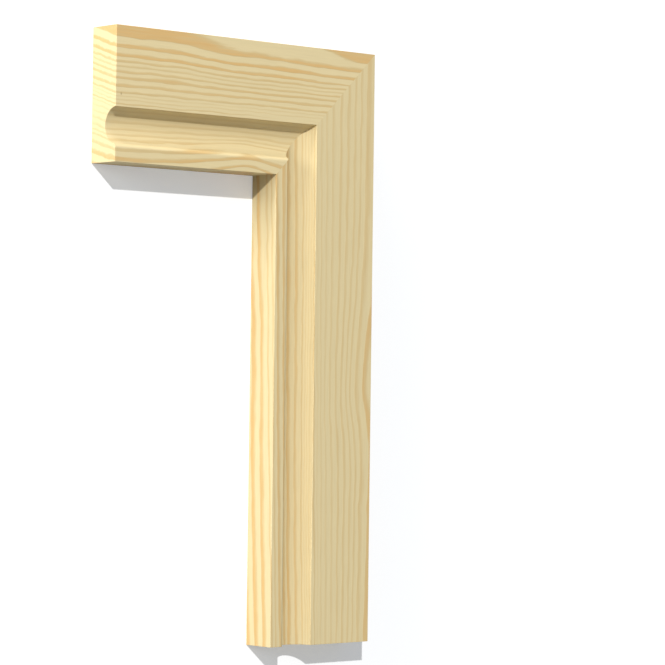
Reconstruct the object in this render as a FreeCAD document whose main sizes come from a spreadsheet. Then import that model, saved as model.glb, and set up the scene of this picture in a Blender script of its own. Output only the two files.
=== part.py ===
"""Mitred corner of grooved pine architrave: a jamb leg and a head cut from one moulding section.

The corner lies on its flat back with the moulded face up.  X runs along the head, Y along the leg
and Z out of the moulded face.  The origin is the middle of the corner's outline, on the back plane.
"""
import FreeCAD, Part
import math
import os
import Sketcher

# Sketcher's numbers for the sketch origin and for the points of a line or an arc
ORIGIN, START, END, CENTRE = -1, 1, 2, 3

doc = FreeCAD.newDocument("ArchitraveCorner")


# Driving dimensions, in millimetres
dimensions = {
    "board_width": 70.0,  # outer edge to inner edge
    "board_thickness": 20.0,  # back to moulded face
    "leg_length": 322.0,  # foot to the mitre's outer corner
    "head_length": 178.0,  # cut end to the mitre's outer corner
    "lip_width": 7.2,  # flat of the lip along the inner edge
    "lip_round": 2.0,  # round between the lip and the groove
    "groove_radius": 9.75,  # hollow of the groove
    "groove_depth": 8.75,  # moulded face to the bottom of the hollow
}
sheet = doc.addObject("Spreadsheet::Sheet", "Dimensions")
for row, (alias, value) in enumerate(dimensions.items(), start=1):
    sheet.set(f"A{row}", alias)
    sheet.set(f"B{row}", str(value))
    sheet.setAlias(f"B{row}", alias)
doc.recompute()


def origin_plane(body, role):
    """The body's own origin plane with that role."""
    return next(plane for plane in body.Origin.OriginFeatures if plane.Role == role)


def attached_sketch(body, name, role):
    """An empty sketch on one of the body's origin planes."""
    sketch = body.newObject("Sketcher::SketchObject", name)
    sketch.AttachmentSupport = (origin_plane(body, role), [""])
    sketch.MapMode = "FlatFace"
    return sketch


def drive(sketch, constraint, name, expression):
    """Add a named size to a sketch and bind it to the sheet."""
    index = sketch.addConstraint(constraint)
    sketch.renameConstraint(index, name)
    sketch.setExpression(f"Constraints.{name}", expression)


def moulding_section(body, role):
    """The moulding's closed section: outer edge on the sketch's upright axis, back on the level one."""
    width = sheet.board_width
    thick = sheet.board_thickness
    hollow = sheet.groove_radius
    lip = sheet.lip_round

    # The hollow's centre stands off the face by what its depth lacks of its radius.
    rise = hollow - sheet.groove_depth
    reach = math.sqrt((hollow + lip) ** 2 - (rise + lip) ** 2)
    lip_centre = FreeCAD.Vector(sheet.lip_width - width, thick - lip)
    hollow_centre = FreeCAD.Vector(lip_centre.x + reach, thick + rise)
    groove_edge = hollow_centre.x + math.sqrt(hollow**2 - rise**2)
    meet = math.atan2(hollow_centre.y - lip_centre.y, reach)
    leave = -math.asin(rise / hollow)

    def point(x, y):
        return FreeCAD.Vector(x, y, 0)

    def arc(centre, radius, first, last):
        circle = Part.Circle(centre, FreeCAD.Vector(0, 0, 1), radius)
        return Part.ArcOfCircle(circle, first, last)

    sketch = attached_sketch(body, "Section", role)
    back = sketch.addGeometry(Part.LineSegment(point(0, 0), point(-width, 0)))
    inner_edge = sketch.addGeometry(Part.LineSegment(point(-width, 0), point(-width, thick)))
    lip_face = sketch.addGeometry(Part.LineSegment(point(-width, thick), point(lip_centre.x, thick)))
    lip_arc = sketch.addGeometry(arc(lip_centre, lip, meet, math.pi / 2))
    groove_arc = sketch.addGeometry(arc(hollow_centre, hollow, meet + math.pi, leave + 2 * math.pi))
    flat_face = sketch.addGeometry(Part.LineSegment(point(groove_edge, thick), point(0, thick)))
    outer_edge = sketch.addGeometry(Part.LineSegment(point(0, thick), point(0, 0)))

    for joined in (
        (back, START, ORIGIN, START),
        (back, END, inner_edge, START),
        (inner_edge, END, lip_face, START),
        (groove_arc, END, flat_face, START),
        (flat_face, END, outer_edge, START),
        (outer_edge, END, back, START),
    ):
        sketch.addConstraint(Sketcher.Constraint("Coincident", *joined))
    for level in (back, lip_face, flat_face):
        sketch.addConstraint(Sketcher.Constraint("Horizontal", level))
    for upright in (inner_edge, outer_edge):
        sketch.addConstraint(Sketcher.Constraint("Vertical", upright))
    sketch.addConstraint(Sketcher.Constraint("Equal", inner_edge, outer_edge))
    sketch.addConstraint(Sketcher.Constraint("Tangent", lip_face, END, lip_arc, END))
    sketch.addConstraint(Sketcher.Constraint("Tangent", lip_arc, START, groove_arc, START))

    for kind, geometry, name, alias in (
        ("Distance", back, "width", "board_width"),
        ("Distance", outer_edge, "thickness", "board_thickness"),
        ("Distance", lip_face, "lip_flat", "lip_width"),
        ("Radius", lip_arc, "lip_radius", "lip_round"),
        ("Radius", groove_arc, "hollow_radius", "groove_radius"),
    ):
        size = Sketcher.Constraint(kind, geometry, sheet.getPropertyByName(alias))
        drive(sketch, size, name, f"Dimensions.{alias}")
    drive(
        sketch,
        Sketcher.Constraint("DistanceY", ORIGIN, START, groove_arc, CENTRE, hollow_centre.y),
        "hollow_height",
        "Dimensions.board_thickness + Dimensions.groove_radius - Dimensions.groove_depth",
    )
    return sketch


def mitre_waste(body, above):
    """The triangle that the saw takes off, above the mitre's line or below it."""
    width = sheet.board_width
    outer = FreeCAD.Vector(0, 0, 0)
    inner = FreeCAD.Vector(-width, -width, 0)
    square = FreeCAD.Vector(-width, 0, 0) if above else FreeCAD.Vector(0, -width, 0)

    sketch = attached_sketch(body, "MitreWaste", "XY_Plane")
    first = sketch.addGeometry(Part.LineSegment(outer, square))
    second = sketch.addGeometry(Part.LineSegment(square, inner))
    saw_cut = sketch.addGeometry(Part.LineSegment(inner, outer))
    for joined in (
        (first, START, ORIGIN, START),
        (first, END, second, START),
        (second, END, saw_cut, START),
        (saw_cut, END, first, START),
    ):
        sketch.addConstraint(Sketcher.Constraint("Coincident", *joined))
    level, upright = (first, second) if above else (second, first)
    sketch.addConstraint(Sketcher.Constraint("Horizontal", level))
    sketch.addConstraint(Sketcher.Constraint("Vertical", upright))
    sketch.addConstraint(Sketcher.Constraint("Equal", first, second))
    drive(sketch, Sketcher.Constraint("Distance", first, width), "width", "Dimensions.board_width")
    return sketch


def mitred_length(label, section_plane, towards_minus, length, waste_above):
    """One length of the moulding, run back from the mitre and sawn at 45 degrees."""
    body = doc.addObject("PartDesign::Body", label)
    body.Label = label

    run = body.newObject("PartDesign::Pad", "Run")
    run.Profile = moulding_section(body, section_plane)
    run.Reversed = towards_minus
    run.setExpression("Length", f"Dimensions.{length}")
    doc.recompute()

    mitre = body.newObject("PartDesign::Pocket", "Mitre")
    mitre.Profile = mitre_waste(body, waste_above)
    mitre.Type = "ThroughAll"
    mitre.Reversed = True
    doc.recompute()

    # The mitre's outer corner goes to its place about the middle of the whole outline.
    body.setExpression("Placement.Base.x", "Dimensions.head_length / 2")
    body.setExpression("Placement.Base.y", "Dimensions.leg_length / 2")
    return body


pieces = [
    mitred_length(
        "architrave_leg", "XZ_Plane", towards_minus=False, length="leg_length", waste_above=True
    ),
    mitred_length(
        "architrave_head", "YZ_Plane", towards_minus=True, length="head_length", waste_above=False
    ),
]
doc.recompute()


# Every feature has to be sound before anything is written.
for feature in doc.Objects:
    if "Invalid" in feature.State or "Error" in feature.State:
        raise RuntimeError(f"{feature.Label} failed to rebuild: {feature.State}")
for piece in pieces:
    if piece.Shape.isNull() or not piece.Shape.isValid() or len(piece.Shape.Solids) != 1:
        raise RuntimeError(f"{piece.Label} is not one sound solid")

os.makedirs("parts", exist_ok=True)
for piece in pieces:
    piece.Shape.exportStep(f"parts/{piece.Label}.step")
    box = piece.Shape.BoundBox
    print(f"{piece.Label}: {piece.Shape.Volume:.0f} mm3, x {box.XMin:.2f} to {box.XMax:.2f},", end=" ")
    print(f"y {box.YMin:.2f} to {box.YMax:.2f}, z {box.ZMin:.2f} to {box.ZMax:.2f}")
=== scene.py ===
from math import asin, atan2, hypot, pi, radians, sqrt

import bpy
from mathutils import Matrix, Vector


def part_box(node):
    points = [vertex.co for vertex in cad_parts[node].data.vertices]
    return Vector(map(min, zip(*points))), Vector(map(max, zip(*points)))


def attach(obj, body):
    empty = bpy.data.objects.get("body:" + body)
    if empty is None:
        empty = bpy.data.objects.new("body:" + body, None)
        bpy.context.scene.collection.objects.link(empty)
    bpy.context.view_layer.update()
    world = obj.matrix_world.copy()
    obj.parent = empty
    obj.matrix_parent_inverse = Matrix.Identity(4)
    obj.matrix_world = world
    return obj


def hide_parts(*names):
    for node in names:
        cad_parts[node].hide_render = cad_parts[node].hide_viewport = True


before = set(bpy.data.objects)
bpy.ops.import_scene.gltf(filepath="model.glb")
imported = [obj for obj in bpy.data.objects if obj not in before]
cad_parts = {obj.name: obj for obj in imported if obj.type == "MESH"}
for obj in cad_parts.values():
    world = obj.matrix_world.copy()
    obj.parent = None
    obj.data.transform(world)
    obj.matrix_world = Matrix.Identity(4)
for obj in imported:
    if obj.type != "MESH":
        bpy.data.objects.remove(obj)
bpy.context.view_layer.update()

# Both lengths start at the mitre's outer corner: the leg runs down from it, the head to the left.
legLow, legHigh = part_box("architrave_leg")
headLow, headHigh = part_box("architrave_head")
outerCorner = Vector((legHigh.x, legHigh.y, legLow.z))
upward = Vector((0, 0, 1))
boardWidth = legHigh.x - legLow.x
boardThickness = legHigh.z - legLow.z

moulding = {
    "lipWidth": 0.0072,
    "lipRound": 0.002,
    "hollowRadius": 0.00975,
    "hollowDepth": 0.00875,
    "lipSteps": 14,
    "hollowSteps": 48,
    "arris": 0.00016,  # sharp edges taken off with fine paper
    "arrisSteps": 2,
    "arrisAngle": 50.0,  # degrees past which an edge is sharp
    "smoothAngle": 40.0,
    "sawWaste": 0.004,  # drawn past the corner, and taken off by the mitre cut
    "mergeWithin": 1e-6,
    "sawWithin": 1e-7,
}


def drawLine(step):
    bpy.ops.mesh.extrude_region_move(TRANSFORM_OT_translate={"value": step})


def runMoulding(name, across, along, length):
    hollow, lip = moulding["hollowRadius"], moulding["lipRound"]
    rise = hollow - moulding["hollowDepth"]  # the hollow's centre stands this far above the face
    reach = sqrt((hollow + lip) ** 2 - (rise + lip) ** 2)
    lipCentre = boardWidth - moulding["lipWidth"]
    hollowCentre = lipCentre - reach
    hollowEdge = hollowCentre - sqrt(hollow ** 2 - rise ** 2)
    meeting = atan2(rise + lip, reach)  # slope of the line from one arc's centre to the other's

    first = outerCorner - along * moulding["sawWaste"]
    turning = upward.cross(across)  # spin turns clockwise about it, with no window

    def spot(fromEdge, height):
        return first + across * fromEdge + upward * height

    # The section grows from one point at the back of the outer edge, round over the face.
    bpy.ops.object.select_all(action="DESELECT")
    bpy.ops.mesh.primitive_plane_add(size=lip, location=spot(0, 0))
    piece = bpy.context.object
    piece.name = name
    piece.data.name = name
    bpy.ops.object.transform_apply(location=True, rotation=True, scale=True)
    bpy.ops.object.mode_set(mode="EDIT")
    bpy.ops.mesh.select_mode(type="VERT")
    bpy.ops.mesh.merge(type="CENTER")
    drawLine(upward * boardThickness)
    drawLine(across * hollowEdge)
    bpy.ops.mesh.spin(
        steps=moulding["hollowSteps"],
        angle=pi - meeting - asin(rise / hollow),
        center=spot(hollowCentre, boardThickness + rise),
        axis=turning,
    )
    bpy.ops.mesh.spin(
        steps=moulding["lipSteps"],
        angle=meeting - pi / 2,
        center=spot(lipCentre, boardThickness - lip),
        axis=turning,
    )
    drawLine(across * moulding["lipWidth"])
    drawLine(upward * -boardThickness)
    bpy.ops.mesh.select_all(action="SELECT")
    bpy.ops.mesh.remove_doubles(threshold=moulding["mergeWithin"])
    bpy.ops.mesh.edge_face_add()
    drawLine(along * (length + moulding["sawWaste"]))

    # Planed arrises are broken a little, and the mitre is sawn after, so the joint stays closed.
    bpy.ops.mesh.select_all(action="SELECT")
    bpy.ops.mesh.normals_make_consistent(inside=False)
    bpy.ops.mesh.select_mode(type="EDGE")
    bpy.ops.mesh.select_all(action="DESELECT")
    bpy.ops.mesh.edges_select_sharp(sharpness=radians(moulding["arrisAngle"]))
    bpy.ops.mesh.bevel(
        offset=moulding["arris"],
        segments=moulding["arrisSteps"],
        affect="EDGES",
        clamp_overlap=False,
    )
    bpy.ops.mesh.select_all(action="SELECT")
    bpy.ops.mesh.bisect(
        plane_co=outerCorner,
        plane_no=across - along,
        use_fill=True,
        clear_outer=True,
        threshold=moulding["sawWithin"],
    )
    bpy.ops.mesh.select_all(action="SELECT")
    bpy.ops.mesh.normals_make_consistent(inside=False)
    bpy.ops.object.mode_set(mode="OBJECT")

    bpy.ops.object.shade_smooth_by_angle(angle=radians(moulding["smoothAngle"]))
    level = piece.modifiers.new("levelFaces", "WEIGHTED_NORMAL")
    level.keep_sharp = True
    bpy.ops.object.modifier_apply(modifier=level.name)
    print("moulding run:", name, len(piece.data.polygons), "faces")
    return piece


pineLeg = runMoulding("pineLeg", Vector((-1, 0, 0)), Vector((0, -1, 0)), legHigh.y - legLow.y)
pineHead = runMoulding("pineHead", Vector((0, -1, 0)), Vector((-1, 0, 0)), headHigh.x - headLow.x)

for piece, node in ((pineLeg, "architrave_leg"), (pineHead, "architrave_head")):
    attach(piece, "root")
    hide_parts(node)

# Bare pine, as one solid block for each length: the same rings come out on face, edge and end.
pine = {
    "earlyWood": (0.757, 0.622, 0.349),
    "lateWood": (0.696, 0.456, 0.189),
    "fleck": (0.26, 0.15, 0.06),
    "fleckShade": 0.6,
    "fleckWidth": 1.6,  # how much wider across the grain than along it
    "figure": {  # size in mm along, across and deep, then detail
        "slowWaver": ((70.0, 16.0, 16.0), 1.0),
        "quickWaver": ((16.0, 6.0, 6.0), 2.0),
        "slowWidth": ((45.0, 7.0, 7.0), 1.0),
        "quickWidth": ((12.0, 2.5, 2.5), 2.0),
        "patch": ((28.0, 3.0, 3.0), 1.0),
        "strand": ((24.0, 0.9, 0.9), 2.0),
        "fibre": ((14.0, 0.32, 0.32), 2.0),
        "streak": ((60.0, 1.6, 1.6), 2.0),
    },
    "slowWaver": 0.45,  # mm that a ring strays
    "quickWaver": 0.80,
    "slowWidth": 0.24,  # shares by which late wood widens and narrows
    "quickWidth": 0.40,
    "strandWidth": 0.12,
    "patchDepth": 0.35,  # shares by which its colour deepens and fades
    "strandDepth": 0.36,
    "fray": 0.05,  # part of a ring that its edges are frayed by
    "sharpSide": 0.15,  # part of the next ring in which late wood fades out
    "swellPast": 0.20,  # part of the next ring that a swell's colour reaches into
    "fibreTone": 0.07,
    "streakTone": 0.05,
    "roughness": 0.62,
    "fibreRoughness": 0.05,
    "polish": 0.12,  # late wood is this much smoother
    "gloss": 0.12,
    "relief": 0.00012,
    "reliefStrength": 0.35,
    "fibreRelief": 0.35,  # height of a fibre beside late wood's
}

millimetres = 1000.0  # the wood is laid out in mm from the face's outer corner
faceCorner = (outerCorner + upward * boardThickness) * millimetres

# A ring is where its sharp edge comes out, in mm across from the outer edge and deep from the face,
# then its depth of colour and its share of late wood. Places along are in mm from the mitre's corner.
# A bend moves the rings at one place along: fully where they come out across at "full", and not at
# all at "none". A swell makes one ring's late wood wider or deeper there, counting rings from 0.
headBoard = {
    "origin": (faceCorner.x, faceCorner.y, faceCorner.z),
    "scale": (-millimetres, -millimetres, -millimetres),
    "turn": 0.0,
    "betweenWood": (0.662, 0.501, 0.247),
    "tone": 1.05,
    "pith": (-415.0, -124.0),  # across and deep
    "rise": 0.70,  # part of the late wood in which it darkens
    "spread": 0.0,  # share for each mm along, by which the rings draw apart
    "spreadAbout": (20.0, 0.0),
    "spreadFrom": 178.0,
    "rings": (
        (-25.0, 0.0, 0.60, 0.40),
        (-17.0, 0.0, 0.70, 0.40),
        (-9.0, 0.0, 0.95, 0.50),
        (5.3, 0.0, 0.94, 0.16),
        (11.3, 0.0, 0.92, 0.44),
        (16.0, 0.0, 0.86, 0.50),
        (19.1, 0.0, 0.52, 0.50),
        (21.6, 0.0, 0.36, 0.50),
        (24.3, 0.0, 0.58, 0.55),
        (27.5, 0.0, 0.66, 0.50),
        (31.4, 0.0, 0.64, 0.42),
        (34.8, 0.0, 0.52, 0.40),
        (36.6, 0.0, 0.18, 0.50),
        (38.4, 0.0, 0.25, 0.50),
        (40.4, 0.0, 0.55, 0.40),
        (42.3, 0.0, 0.20, 0.50),
        (45.0, 0.0, 0.20, 0.50),
        (48.1, 0.0, 0.24, 0.50),
        (51.6, 0.0, 0.28, 0.50),
        (55.2, 0.0, 0.32, 0.50),
        (57.9, 0.0, 0.32, 0.50),
        (60.0, 0.0, 0.42, 0.50),
        (64.2, 0.0, 0.44, 0.50),
        (69.3, 0.0, 0.85, 0.55),
        (70.0, 20.0, 0.80, 0.25),
        (70.0, 38.0, 0.80, 0.40),
    ),
    "bends": (
        {"at": 98.0, "mitreReach": 1000.0, "endReach": 27.0, "push": -4.0, "none": 31.0, "full": 5.0},
        {"at": 74.0, "mitreReach": 22.0, "endReach": 22.0, "push": 0.7, "none": 23.0, "full": 5.0},
        {"at": 0.0, "mitreReach": 1000.0, "endReach": 70.0, "push": -2.0, "none": 31.0, "full": 10.0},
        {"at": 6.0, "mitreReach": 60.0, "endReach": 27.0, "push": -7.6, "none": 8.0, "full": 5.5},
        {"at": 164.0, "mitreReach": 6.0, "endReach": 6.0, "push": -1.0, "none": 9.0, "full": 5.0},
        {"at": 88.0, "mitreReach": 32.0, "endReach": 45.0, "push": 3.5, "none": 49.0, "full": 68.5},
        {"at": 88.0, "mitreReach": 15.0, "endReach": 18.0, "push": 2.8, "none": 49.0, "full": 68.5},
        {"at": 88.0, "mitreReach": 10.0, "endReach": 12.0, "push": 1.5, "none": 68.0, "full": 70.0},
        {"at": 96.0, "mitreReach": 18.0, "endReach": 26.0, "push": 2.2, "none": 60.0, "full": 67.0},
    ),
    "swells": (
        {"ring": 2, "at": 0.0, "mitreReach": 100.0, "endReach": 50.0, "wider": 1.50, "deeper": 0.0},
        {"ring": 3, "at": 150.0, "mitreReach": 34.0, "endReach": 200.0, "wider": 0.67, "deeper": 0.0},
        {"ring": 4, "at": 65.0, "mitreReach": 22.0, "endReach": 14.0, "wider": 0.20, "deeper": 0.0},
        {"ring": 5, "at": 20.0, "mitreReach": 40.0, "endReach": 25.0, "wider": -0.25, "deeper": -0.1},
        {"ring": 9, "at": 144.0, "mitreReach": 9.0, "endReach": 9.0, "wider": 0.34, "deeper": 0.1},
        {"ring": 14, "at": 60.0, "mitreReach": 100.0, "endReach": 44.0, "wider": 0.0, "deeper": -0.4},
        {"ring": 22, "at": 75.0, "mitreReach": 60.0, "endReach": 26.0, "wider": 0.0, "deeper": -1.2},
        {"ring": 22, "at": 122.0, "mitreReach": 14.0, "endReach": 20.0, "wider": 0.15, "deeper": 0.42},
        {"ring": 23, "at": 87.5, "mitreReach": 5.0, "endReach": 6.0, "wider": 0.85, "deeper": 0.0},
    ),
    "flecks": ({"along": 174.6, "across": 35.2, "size": 0.40},),
}

legBoard = {
    "origin": (faceCorner.y, faceCorner.x, faceCorner.z),
    "scale": (-millimetres, millimetres, -millimetres),
    "turn": 90.0,
    "betweenWood": (0.694, 0.522, 0.259),
    "tone": 1.0,
    "pith": (-146.0, -156.0),
    "rise": 0.80,
    "spread": 0.0006,
    "spreadAbout": (19.2, 0.0),
    "spreadFrom": 60.0,
    "rings": (
        (-32.0, 0.0, 0.50, 0.50),
        (-24.0, 0.0, 0.50, 0.50),
        (-16.0, 0.0, 0.60, 0.50),
        (-3.0, 0.0, 0.75, 0.64),
        (5.4, 0.0, 0.42, 0.34),
        (9.9, 0.0, 0.36, 0.45),
        (14.2, 0.0, 0.34, 0.45),
        (19.2, 0.0, 0.40, 0.45),
        (24.4, 0.0, 0.40, 0.42),
        (30.1, 0.0, 0.28, 0.38),
        (34.6, 0.0, 0.25, 0.40),
        (38.4, 0.0, 0.25, 0.40),
        (41.2, 0.0, 0.20, 0.40),
        (42.03, 1.54, 0.50, 0.50),
        (42.7, 3.3, 0.25, 0.45),
        (43.5, 4.7, 0.25, 0.45),
        (44.4, 5.8, 0.28, 0.45),
        (45.8, 6.9, 0.50, 0.50),
        (49.6, 8.6, 0.65, 0.45),
        # This ring's late wood is made broad and dark: partly grain, partly painted shade in the hollow
        # beside the lip
        (56.2, 8.3, 0.85, 0.58),
        (66.0, 0.0, 0.80, 0.55),
        (70.0, 0.7, 0.80, 0.56),
        (70.0, 5.2, 0.42, 0.40),
        (70.0, 9.0, 0.55, 0.40),
        (70.0, 16.8, 0.95, 0.52),
        (70.0, 24.5, 1.00, 0.58),
        (70.0, 32.0, 0.90, 0.40),
        (70.0, 41.0, 0.90, 0.40),
    ),
    "bends": (
        {"at": 184.0, "mitreReach": 50.0, "endReach": 23.0, "push": -4.0, "none": 38.0, "full": 14.0},
        {"at": 180.0, "mitreReach": 24.0, "endReach": 13.0, "push": -3.4, "none": 8.0, "full": 0.0},
        {"at": 330.0, "mitreReach": 90.0, "endReach": 90.0, "push": -2.1, "none": 5.0, "full": -2.0},
        {"at": 330.0, "mitreReach": 110.0, "endReach": 110.0, "push": -0.85, "none": 21.0, "full": 9.0},
        {"at": 330.0, "mitreReach": 110.0, "endReach": 110.0, "push": 1.1, "none": 21.0, "full": 31.0},
        {"at": 260.0, "mitreReach": 90.0, "endReach": 120.0, "push": -1.6, "none": 42.0, "full": 46.0},
        {"at": 260.0, "mitreReach": 90.0, "endReach": 120.0, "push": 0.5, "none": 60.0, "full": 68.0},
        {"at": 155.0, "mitreReach": 36.0, "endReach": 50.0, "push": 1.4, "none": 76.0, "full": 83.0},
        {"at": 249.0, "mitreReach": 4.0, "endReach": 6.0, "push": -0.6, "none": 10.0, "full": 7.0},
    ),
    "swells": (
        {"ring": 4, "at": 60.0, "mitreReach": 200.0, "endReach": 60.0, "wider": 0.14, "deeper": 0.0},
        {"ring": 20, "at": 62.0, "mitreReach": 50.0, "endReach": 36.0, "wider": 0.45, "deeper": 0.0},
    ),
    "flecks": (),
}


def colourMix(tree):  # its share, its two colours and its result
    node = tree.nodes.new("ShaderNodeMix")
    node.data_type = "RGBA"
    return node.inputs[0], node.inputs[6], node.inputs[7], node.outputs[2]


def growPine(name, board):
    material = bpy.data.materials.new(name)
    material.use_nodes = True
    tree = material.node_tree
    shader = tree.nodes["Principled BSDF"]

    def feed(socket, value):
        if isinstance(value, bpy.types.NodeSocket):
            tree.links.new(value, socket)
        else:
            socket.default_value = value

    def calc(operation, *values):
        node = tree.nodes.new("ShaderNodeMath")
        node.operation = operation
        for socket, value in zip(node.inputs, values):
            feed(socket, value)
        return node.outputs[0]

    def ease(value, low, high, shape="SMOOTHSTEP"):  # 0 at low, 1 at high
        node = tree.nodes.new("ShaderNodeMapRange")
        node.interpolation_type = shape
        feed(node.inputs["Value"], value)
        feed(node.inputs["From Min"], low)
        feed(node.inputs["From Max"], high)
        return node.outputs["Result"]

    def hill(value, top, before, after):  # 1 at the top, with its own reach on either side
        away = calc("SUBTRACT", value, top)
        reach = calc("MULTIPLY_ADD", calc("LESS_THAN", away, 0.0), before - after, after)
        part = calc("DIVIDE", away, reach)
        return calc("EXPONENT", calc("MULTIPLY", calc("MULTIPLY", part, part), -1.0))

    def curve(value, points):  # straight runs from point to point
        node = tree.nodes.new("ShaderNodeFloatCurve")
        line = node.mapping.curves[0]
        line.points[0].location = points[0]
        line.points[1].location = points[-1]
        for x, y in points[1:-1]:
            line.points.new(x, y)
        for point in line.points:
            point.handle_type = "VECTOR"
        node.mapping.update()
        feed(node.inputs["Value"], value)
        return node.outputs[0]

    def noise(kind):  # about -1 to 1
        size, detail = pine["figure"][kind]
        sized = tree.nodes.new("ShaderNodeVectorMath")
        sized.operation = "DIVIDE"
        feed(sized.inputs[0], inBoard)
        feed(sized.inputs[1], size)
        node = tree.nodes.new("ShaderNodeTexNoise")
        node.inputs["Scale"].default_value = 1.0
        node.inputs["Detail"].default_value = detail
        feed(node.inputs["Vector"], sized.outputs[0])
        return calc("MULTIPLY_ADD", node.outputs["Fac"], 2.0, -1.0)

    def radiusAt(acrossPlace, deepPlace=0.0):
        return hypot(acrossPlace - board["pith"][0], deepPlace - board["pith"][1])

    # Places in the board, in mm: along from the mitre, across from the outer edge, deep from the face.
    coordinates = tree.nodes.new("ShaderNodeTexCoord")
    mapping = tree.nodes.new("ShaderNodeMapping")
    mapping.inputs["Location"].default_value = board["origin"]
    mapping.inputs["Rotation"].default_value = (0.0, 0.0, radians(board["turn"]))
    mapping.inputs["Scale"].default_value = board["scale"]
    feed(mapping.inputs["Vector"], coordinates.outputs["Object"])
    inBoard = mapping.outputs["Vector"]
    parts = tree.nodes.new("ShaderNodeSeparateXYZ")
    feed(parts.inputs[0], inBoard)
    along, across, deep = parts.outputs

    # Distance from the pith, with the rings' spread, bends and waver along the board
    crossCut = tree.nodes.new("ShaderNodeCombineXYZ")
    feed(crossCut.inputs[1], across)
    feed(crossCut.inputs[2], deep)
    fromPith = tree.nodes.new("ShaderNodeVectorMath")
    fromPith.operation = "DISTANCE"
    feed(fromPith.inputs[0], crossCut.outputs[0])
    feed(fromPith.inputs[1], (0.0, *board["pith"]))
    about = radiusAt(*board["spreadAbout"])
    widen = calc("MULTIPLY_ADD", calc("SUBTRACT", along, board["spreadFrom"]), board["spread"], 1.0)
    straight = calc("MULTIPLY_ADD", calc("SUBTRACT", fromPith.outputs["Value"], about), widen, about)
    radius = straight
    for bend in board["bends"]:
        hereabouts = hill(along, bend["at"], bend["mitreReach"], bend["endReach"])
        felt = ease(straight, radiusAt(bend["none"]), radiusAt(bend["full"]), "LINEAR")
        radius = calc("ADD", radius, calc("MULTIPLY", calc("MULTIPLY", hereabouts, felt), bend["push"]))
    radius = calc("MULTIPLY_ADD", noise("slowWaver"), pine["slowWaver"], radius)
    radius = calc("MULTIPLY_ADD", noise("quickWaver"), pine["quickWaver"], radius)

    # Ring by ring: whole numbers at the sharp edges, and the part between them
    ringAcross, ringDeep, ringDepths, ringShares = zip(*board["rings"])
    edges = [radiusAt(*place) for place in zip(ringAcross, ringDeep)]
    first, last = edges[0], edges[-1]
    count = len(edges) - 1
    spots = [(edge - first) / (last - first) for edge in edges]
    position = ease(radius, first, last, "LINEAR")
    stair = [(spot, step / count) for step, spot in enumerate(spots)]
    ring = calc("MULTIPLY", curve(position, stair), count)
    inRing = calc("FRACT", ring)
    depth = curve(position, list(zip(spots, ringDepths)))
    share = curve(position, list(zip(spots, ringShares)))

    # Late wood strays in width and depth, and swells in places.
    fibre = noise("fibre")
    strand = noise("strand")
    stray = calc("MULTIPLY_ADD", noise("slowWidth"), pine["slowWidth"], 1.0)
    stray = calc("MULTIPLY_ADD", noise("quickWidth"), pine["quickWidth"], stray)
    stray = calc("MULTIPLY_ADD", strand, pine["strandWidth"], stray)
    share = calc("MULTIPLY", share, stray)
    patchy = calc("MULTIPLY_ADD", noise("patch"), pine["patchDepth"], 1.0)
    patchy = calc("MULTIPLY_ADD", strand, pine["strandDepth"], patchy)
    depth = calc("MULTIPLY", depth, patchy)
    halfSwell = (1.0 + pine["swellPast"]) / 2
    for swell in board["swells"]:
        hereabouts = hill(along, swell["at"], swell["mitreReach"], swell["endReach"])
        begins = swell["ring"] - 1.0
        thisRing = calc("COMPARE", calc("FLOOR", ring), begins, 0.5)
        withEdge = calc("COMPARE", ring, begins + halfSwell, halfSwell)
        share = calc("MULTIPLY_ADD", calc("MULTIPLY", hereabouts, thisRing), swell["wider"], share)
        depth = calc("MULTIPLY_ADD", calc("MULTIPLY", hereabouts, withEdge), swell["deeper"], depth)
    depth = calc("MAXIMUM", depth, 0.0)
    start = calc("SUBTRACT", 1.0, share)
    frayed = calc("MULTIPLY_ADD", fibre, pine["fray"], inRing)
    softSide = ease(frayed, start, calc("MULTIPLY_ADD", share, board["rise"], start))
    sharpSide = ease(frayed, pine["sharpSide"], 0.0)
    late = calc("MULTIPLY", calc("MAXIMUM", softSide, sharpSide), depth)

    # Colour
    ramp = tree.nodes.new("ShaderNodeValToRGB")
    stops = ramp.color_ramp.elements
    stops[0].color = (*pine["earlyWood"], 1.0)
    stops[1].color = (*pine["lateWood"], 1.0)
    middle = stops.new(0.5)
    middle.color = (*board["betweenWood"], 1.0)
    feed(ramp.inputs["Fac"], late)
    colour = ramp.outputs["Color"]
    for fleck in board["flecks"]:
        fleckLong = fleck["size"]
        fleckWide = fleck["size"] * pine["fleckWidth"]
        lengthwise = hill(along, fleck["along"], fleckLong, fleckLong)
        widthwise = hill(across, fleck["across"], fleckWide, fleckWide)
        shade, wood, mark, marked = colourMix(tree)
        feed(shade, calc("MULTIPLY", calc("MULTIPLY", lengthwise, widthwise), pine["fleckShade"]))
        feed(wood, colour)
        feed(mark, (*pine["fleck"], 1.0))
        colour = marked
    tone = calc("MULTIPLY_ADD", fibre, pine["fibreTone"], board["tone"])
    tone = calc("MULTIPLY_ADD", noise("streak"), pine["streakTone"], tone)
    shaded = tree.nodes.new("ShaderNodeHueSaturation")
    feed(shaded.inputs["Value"], tone)
    feed(shaded.inputs["Color"], colour)
    feed(shader.inputs["Base Color"], shaded.outputs["Color"])

    # Finish
    rough = calc("MULTIPLY_ADD", late, -pine["polish"], pine["roughness"])
    feed(shader.inputs["Roughness"], calc("MULTIPLY_ADD", fibre, pine["fibreRoughness"], rough))
    shader.inputs["Specular IOR Level"].default_value = pine["gloss"]
    bump = tree.nodes.new("ShaderNodeBump")
    bump.inputs["Strength"].default_value = pine["reliefStrength"]
    bump.inputs["Distance"].default_value = pine["relief"]
    feed(bump.inputs["Height"], calc("MULTIPLY_ADD", fibre, pine["fibreRelief"], late))
    feed(shader.inputs["Normal"], bump.outputs["Normal"])
    print("pine grown:", name, len(tree.nodes), "nodes")
    return material


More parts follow.
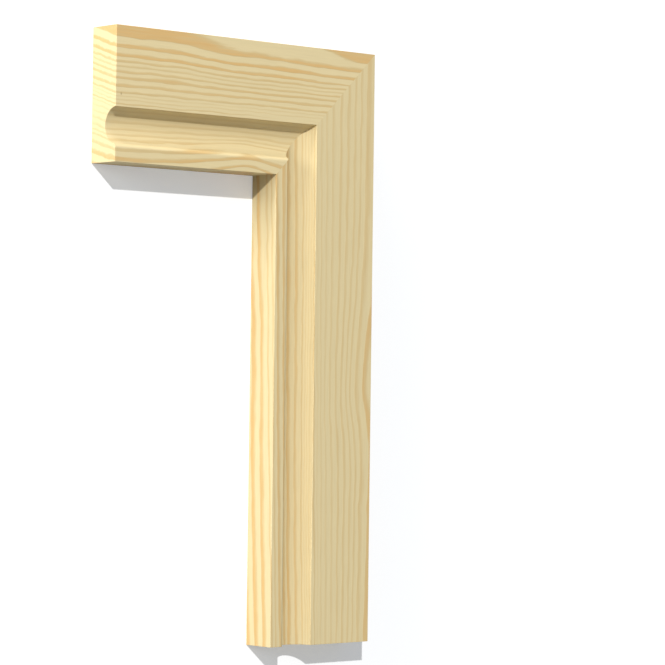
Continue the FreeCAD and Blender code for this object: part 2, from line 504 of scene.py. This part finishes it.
pineLeg.data.materials.append(growPine("legPine", legBoard))
pineHead.data.materials.append(growPine("headPine", headBoard))

# Floor, soft studio light and camera
studio = {
    "floorSize": 12.0,
    "floorLook": (0.86, 0.86, 0.86),
    "floorGlow": 0.27,
    "floorBounce": (0.55, 0.55, 0.55),
    "keyTravel": (0.512, -0.458, -0.727),
    "keyStrength": 2.46,
    "keyAngle": 1.0,
    "skyStrength": 0.272,
    "skyTint": (0.94, 1.00, 1.07),  # a little cooler than the key, so that shadows stay neutral
    "skyLook": (1.0, 1.0, 1.0),
    "fillLamps": (
        {"name": "lowFill", "place": (-1.454, 0.444, 0.042), "size": (0.48, 0.05), "power": 6.8},
        {"name": "tallFill", "place": (-1.511, 0.462, 0.290), "size": (0.50, 0.57), "power": 7.3},
        {"name": "crestFill", "place": (-0.640, 1.770, 0.265), "size": (0.50, 0.16), "power": 9.1},
    ),
    "cameraPlace": (-0.9701, -0.0247, 1.1807),
    "cameraTurn": (0.5304, -41.6089, 0.9916),
    "cameraLens": 155.0,
    "cameraSensor": 36.0,
}


def seenRays(tree):  # 1 for what the camera sees, also in a reflection or through glass
    rays = tree.nodes.new("ShaderNodeLightPath")
    seen = rays.outputs["Is Camera Ray"]
    for kind in ("Is Glossy Ray", "Is Transmission Ray"):
        either = tree.nodes.new("ShaderNodeMath")
        either.operation = "MAXIMUM"
        tree.links.new(seen, either.inputs[0])
        tree.links.new(rays.outputs[kind], either.inputs[1])
        seen = either.outputs[0]
    return seen


bpy.ops.object.select_all(action="DESELECT")
bpy.ops.mesh.primitive_plane_add(size=studio["floorSize"], location=(0, 0, 0))
floor = bpy.context.object
floor.name = "floor"
paleFloor = bpy.data.materials.new("paleFloor")
paleFloor.use_nodes = True
floorTree = paleFloor.node_tree
floorTree.nodes.remove(floorTree.nodes["Principled BSDF"])
bounce = floorTree.nodes.new("ShaderNodeBsdfDiffuse")
bounce.inputs["Color"].default_value = (*studio["floorBounce"], 1.0)
look = floorTree.nodes.new("ShaderNodeBsdfDiffuse")
look.inputs["Color"].default_value = (*studio["floorLook"], 1.0)
glow = floorTree.nodes.new("ShaderNodeEmission")
glow.inputs["Strength"].default_value = studio["floorGlow"]
pale = floorTree.nodes.new("ShaderNodeAddShader")
lookOrBounce = floorTree.nodes.new("ShaderNodeMixShader")
floorTree.links.new(look.outputs[0], pale.inputs[0])
floorTree.links.new(glow.outputs[0], pale.inputs[1])
floorTree.links.new(seenRays(floorTree), lookOrBounce.inputs[0])
floorTree.links.new(bounce.outputs[0], lookOrBounce.inputs[1])
floorTree.links.new(pale.outputs[0], lookOrBounce.inputs[2])
floorTree.links.new(lookOrBounce.outputs[0], floorTree.nodes["Material Output"].inputs["Surface"])
floor.data.materials.append(paleFloor)

key = Vector(studio["keyTravel"])
bpy.ops.object.light_add(type="SUN", location=-key, rotation=key.to_track_quat("-Z", "Y").to_euler())
keyLamp = bpy.context.object
keyLamp.name = "keyLamp"
keyLamp.data.energy = studio["keyStrength"]
keyLamp.data.angle = radians(studio["keyAngle"])

for lamp in studio["fillLamps"]:
    place = Vector(lamp["place"])
    aim = place.to_track_quat("Z", "Y").to_euler()  # turned to the middle of the floor
    bpy.ops.object.light_add(type="AREA", location=place, rotation=aim)
    fillLamp = bpy.context.object
    fillLamp.name = lamp["name"]
    fillLamp.data.shape = "RECTANGLE"
    fillLamp.data.size, fillLamp.data.size_y = lamp["size"]
    fillLamp.data.energy = lamp["power"]
    fillLamp.visible_camera = False

sky = bpy.data.worlds.new("sky")
bpy.context.scene.world = sky
sky.use_nodes = True
skyTree = sky.node_tree
skyLight = [studio["skyStrength"] * part for part in studio["skyTint"]]
seenShare, lightColour, lookColour, skyColour = colourMix(skyTree)
lightColour.default_value = (*skyLight, 1.0)
lookColour.default_value = (*studio["skyLook"], 1.0)
skyTree.links.new(seenRays(skyTree), seenShare)
skyTree.links.new(skyColour, skyTree.nodes["Background"].inputs["Color"])

turn = [radians(angle) for angle in studio["cameraTurn"]]
bpy.ops.object.camera_add(location=studio["cameraPlace"], rotation=turn)
camera = bpy.context.object
camera.name = "camera"
camera.data.lens = studio["cameraLens"]
camera.data.sensor_width = studio["cameraSensor"]
bpy.context.scene.camera = camera
bpy.context.scene.view_settings.view_transform = "Standard"
print("studio ready")
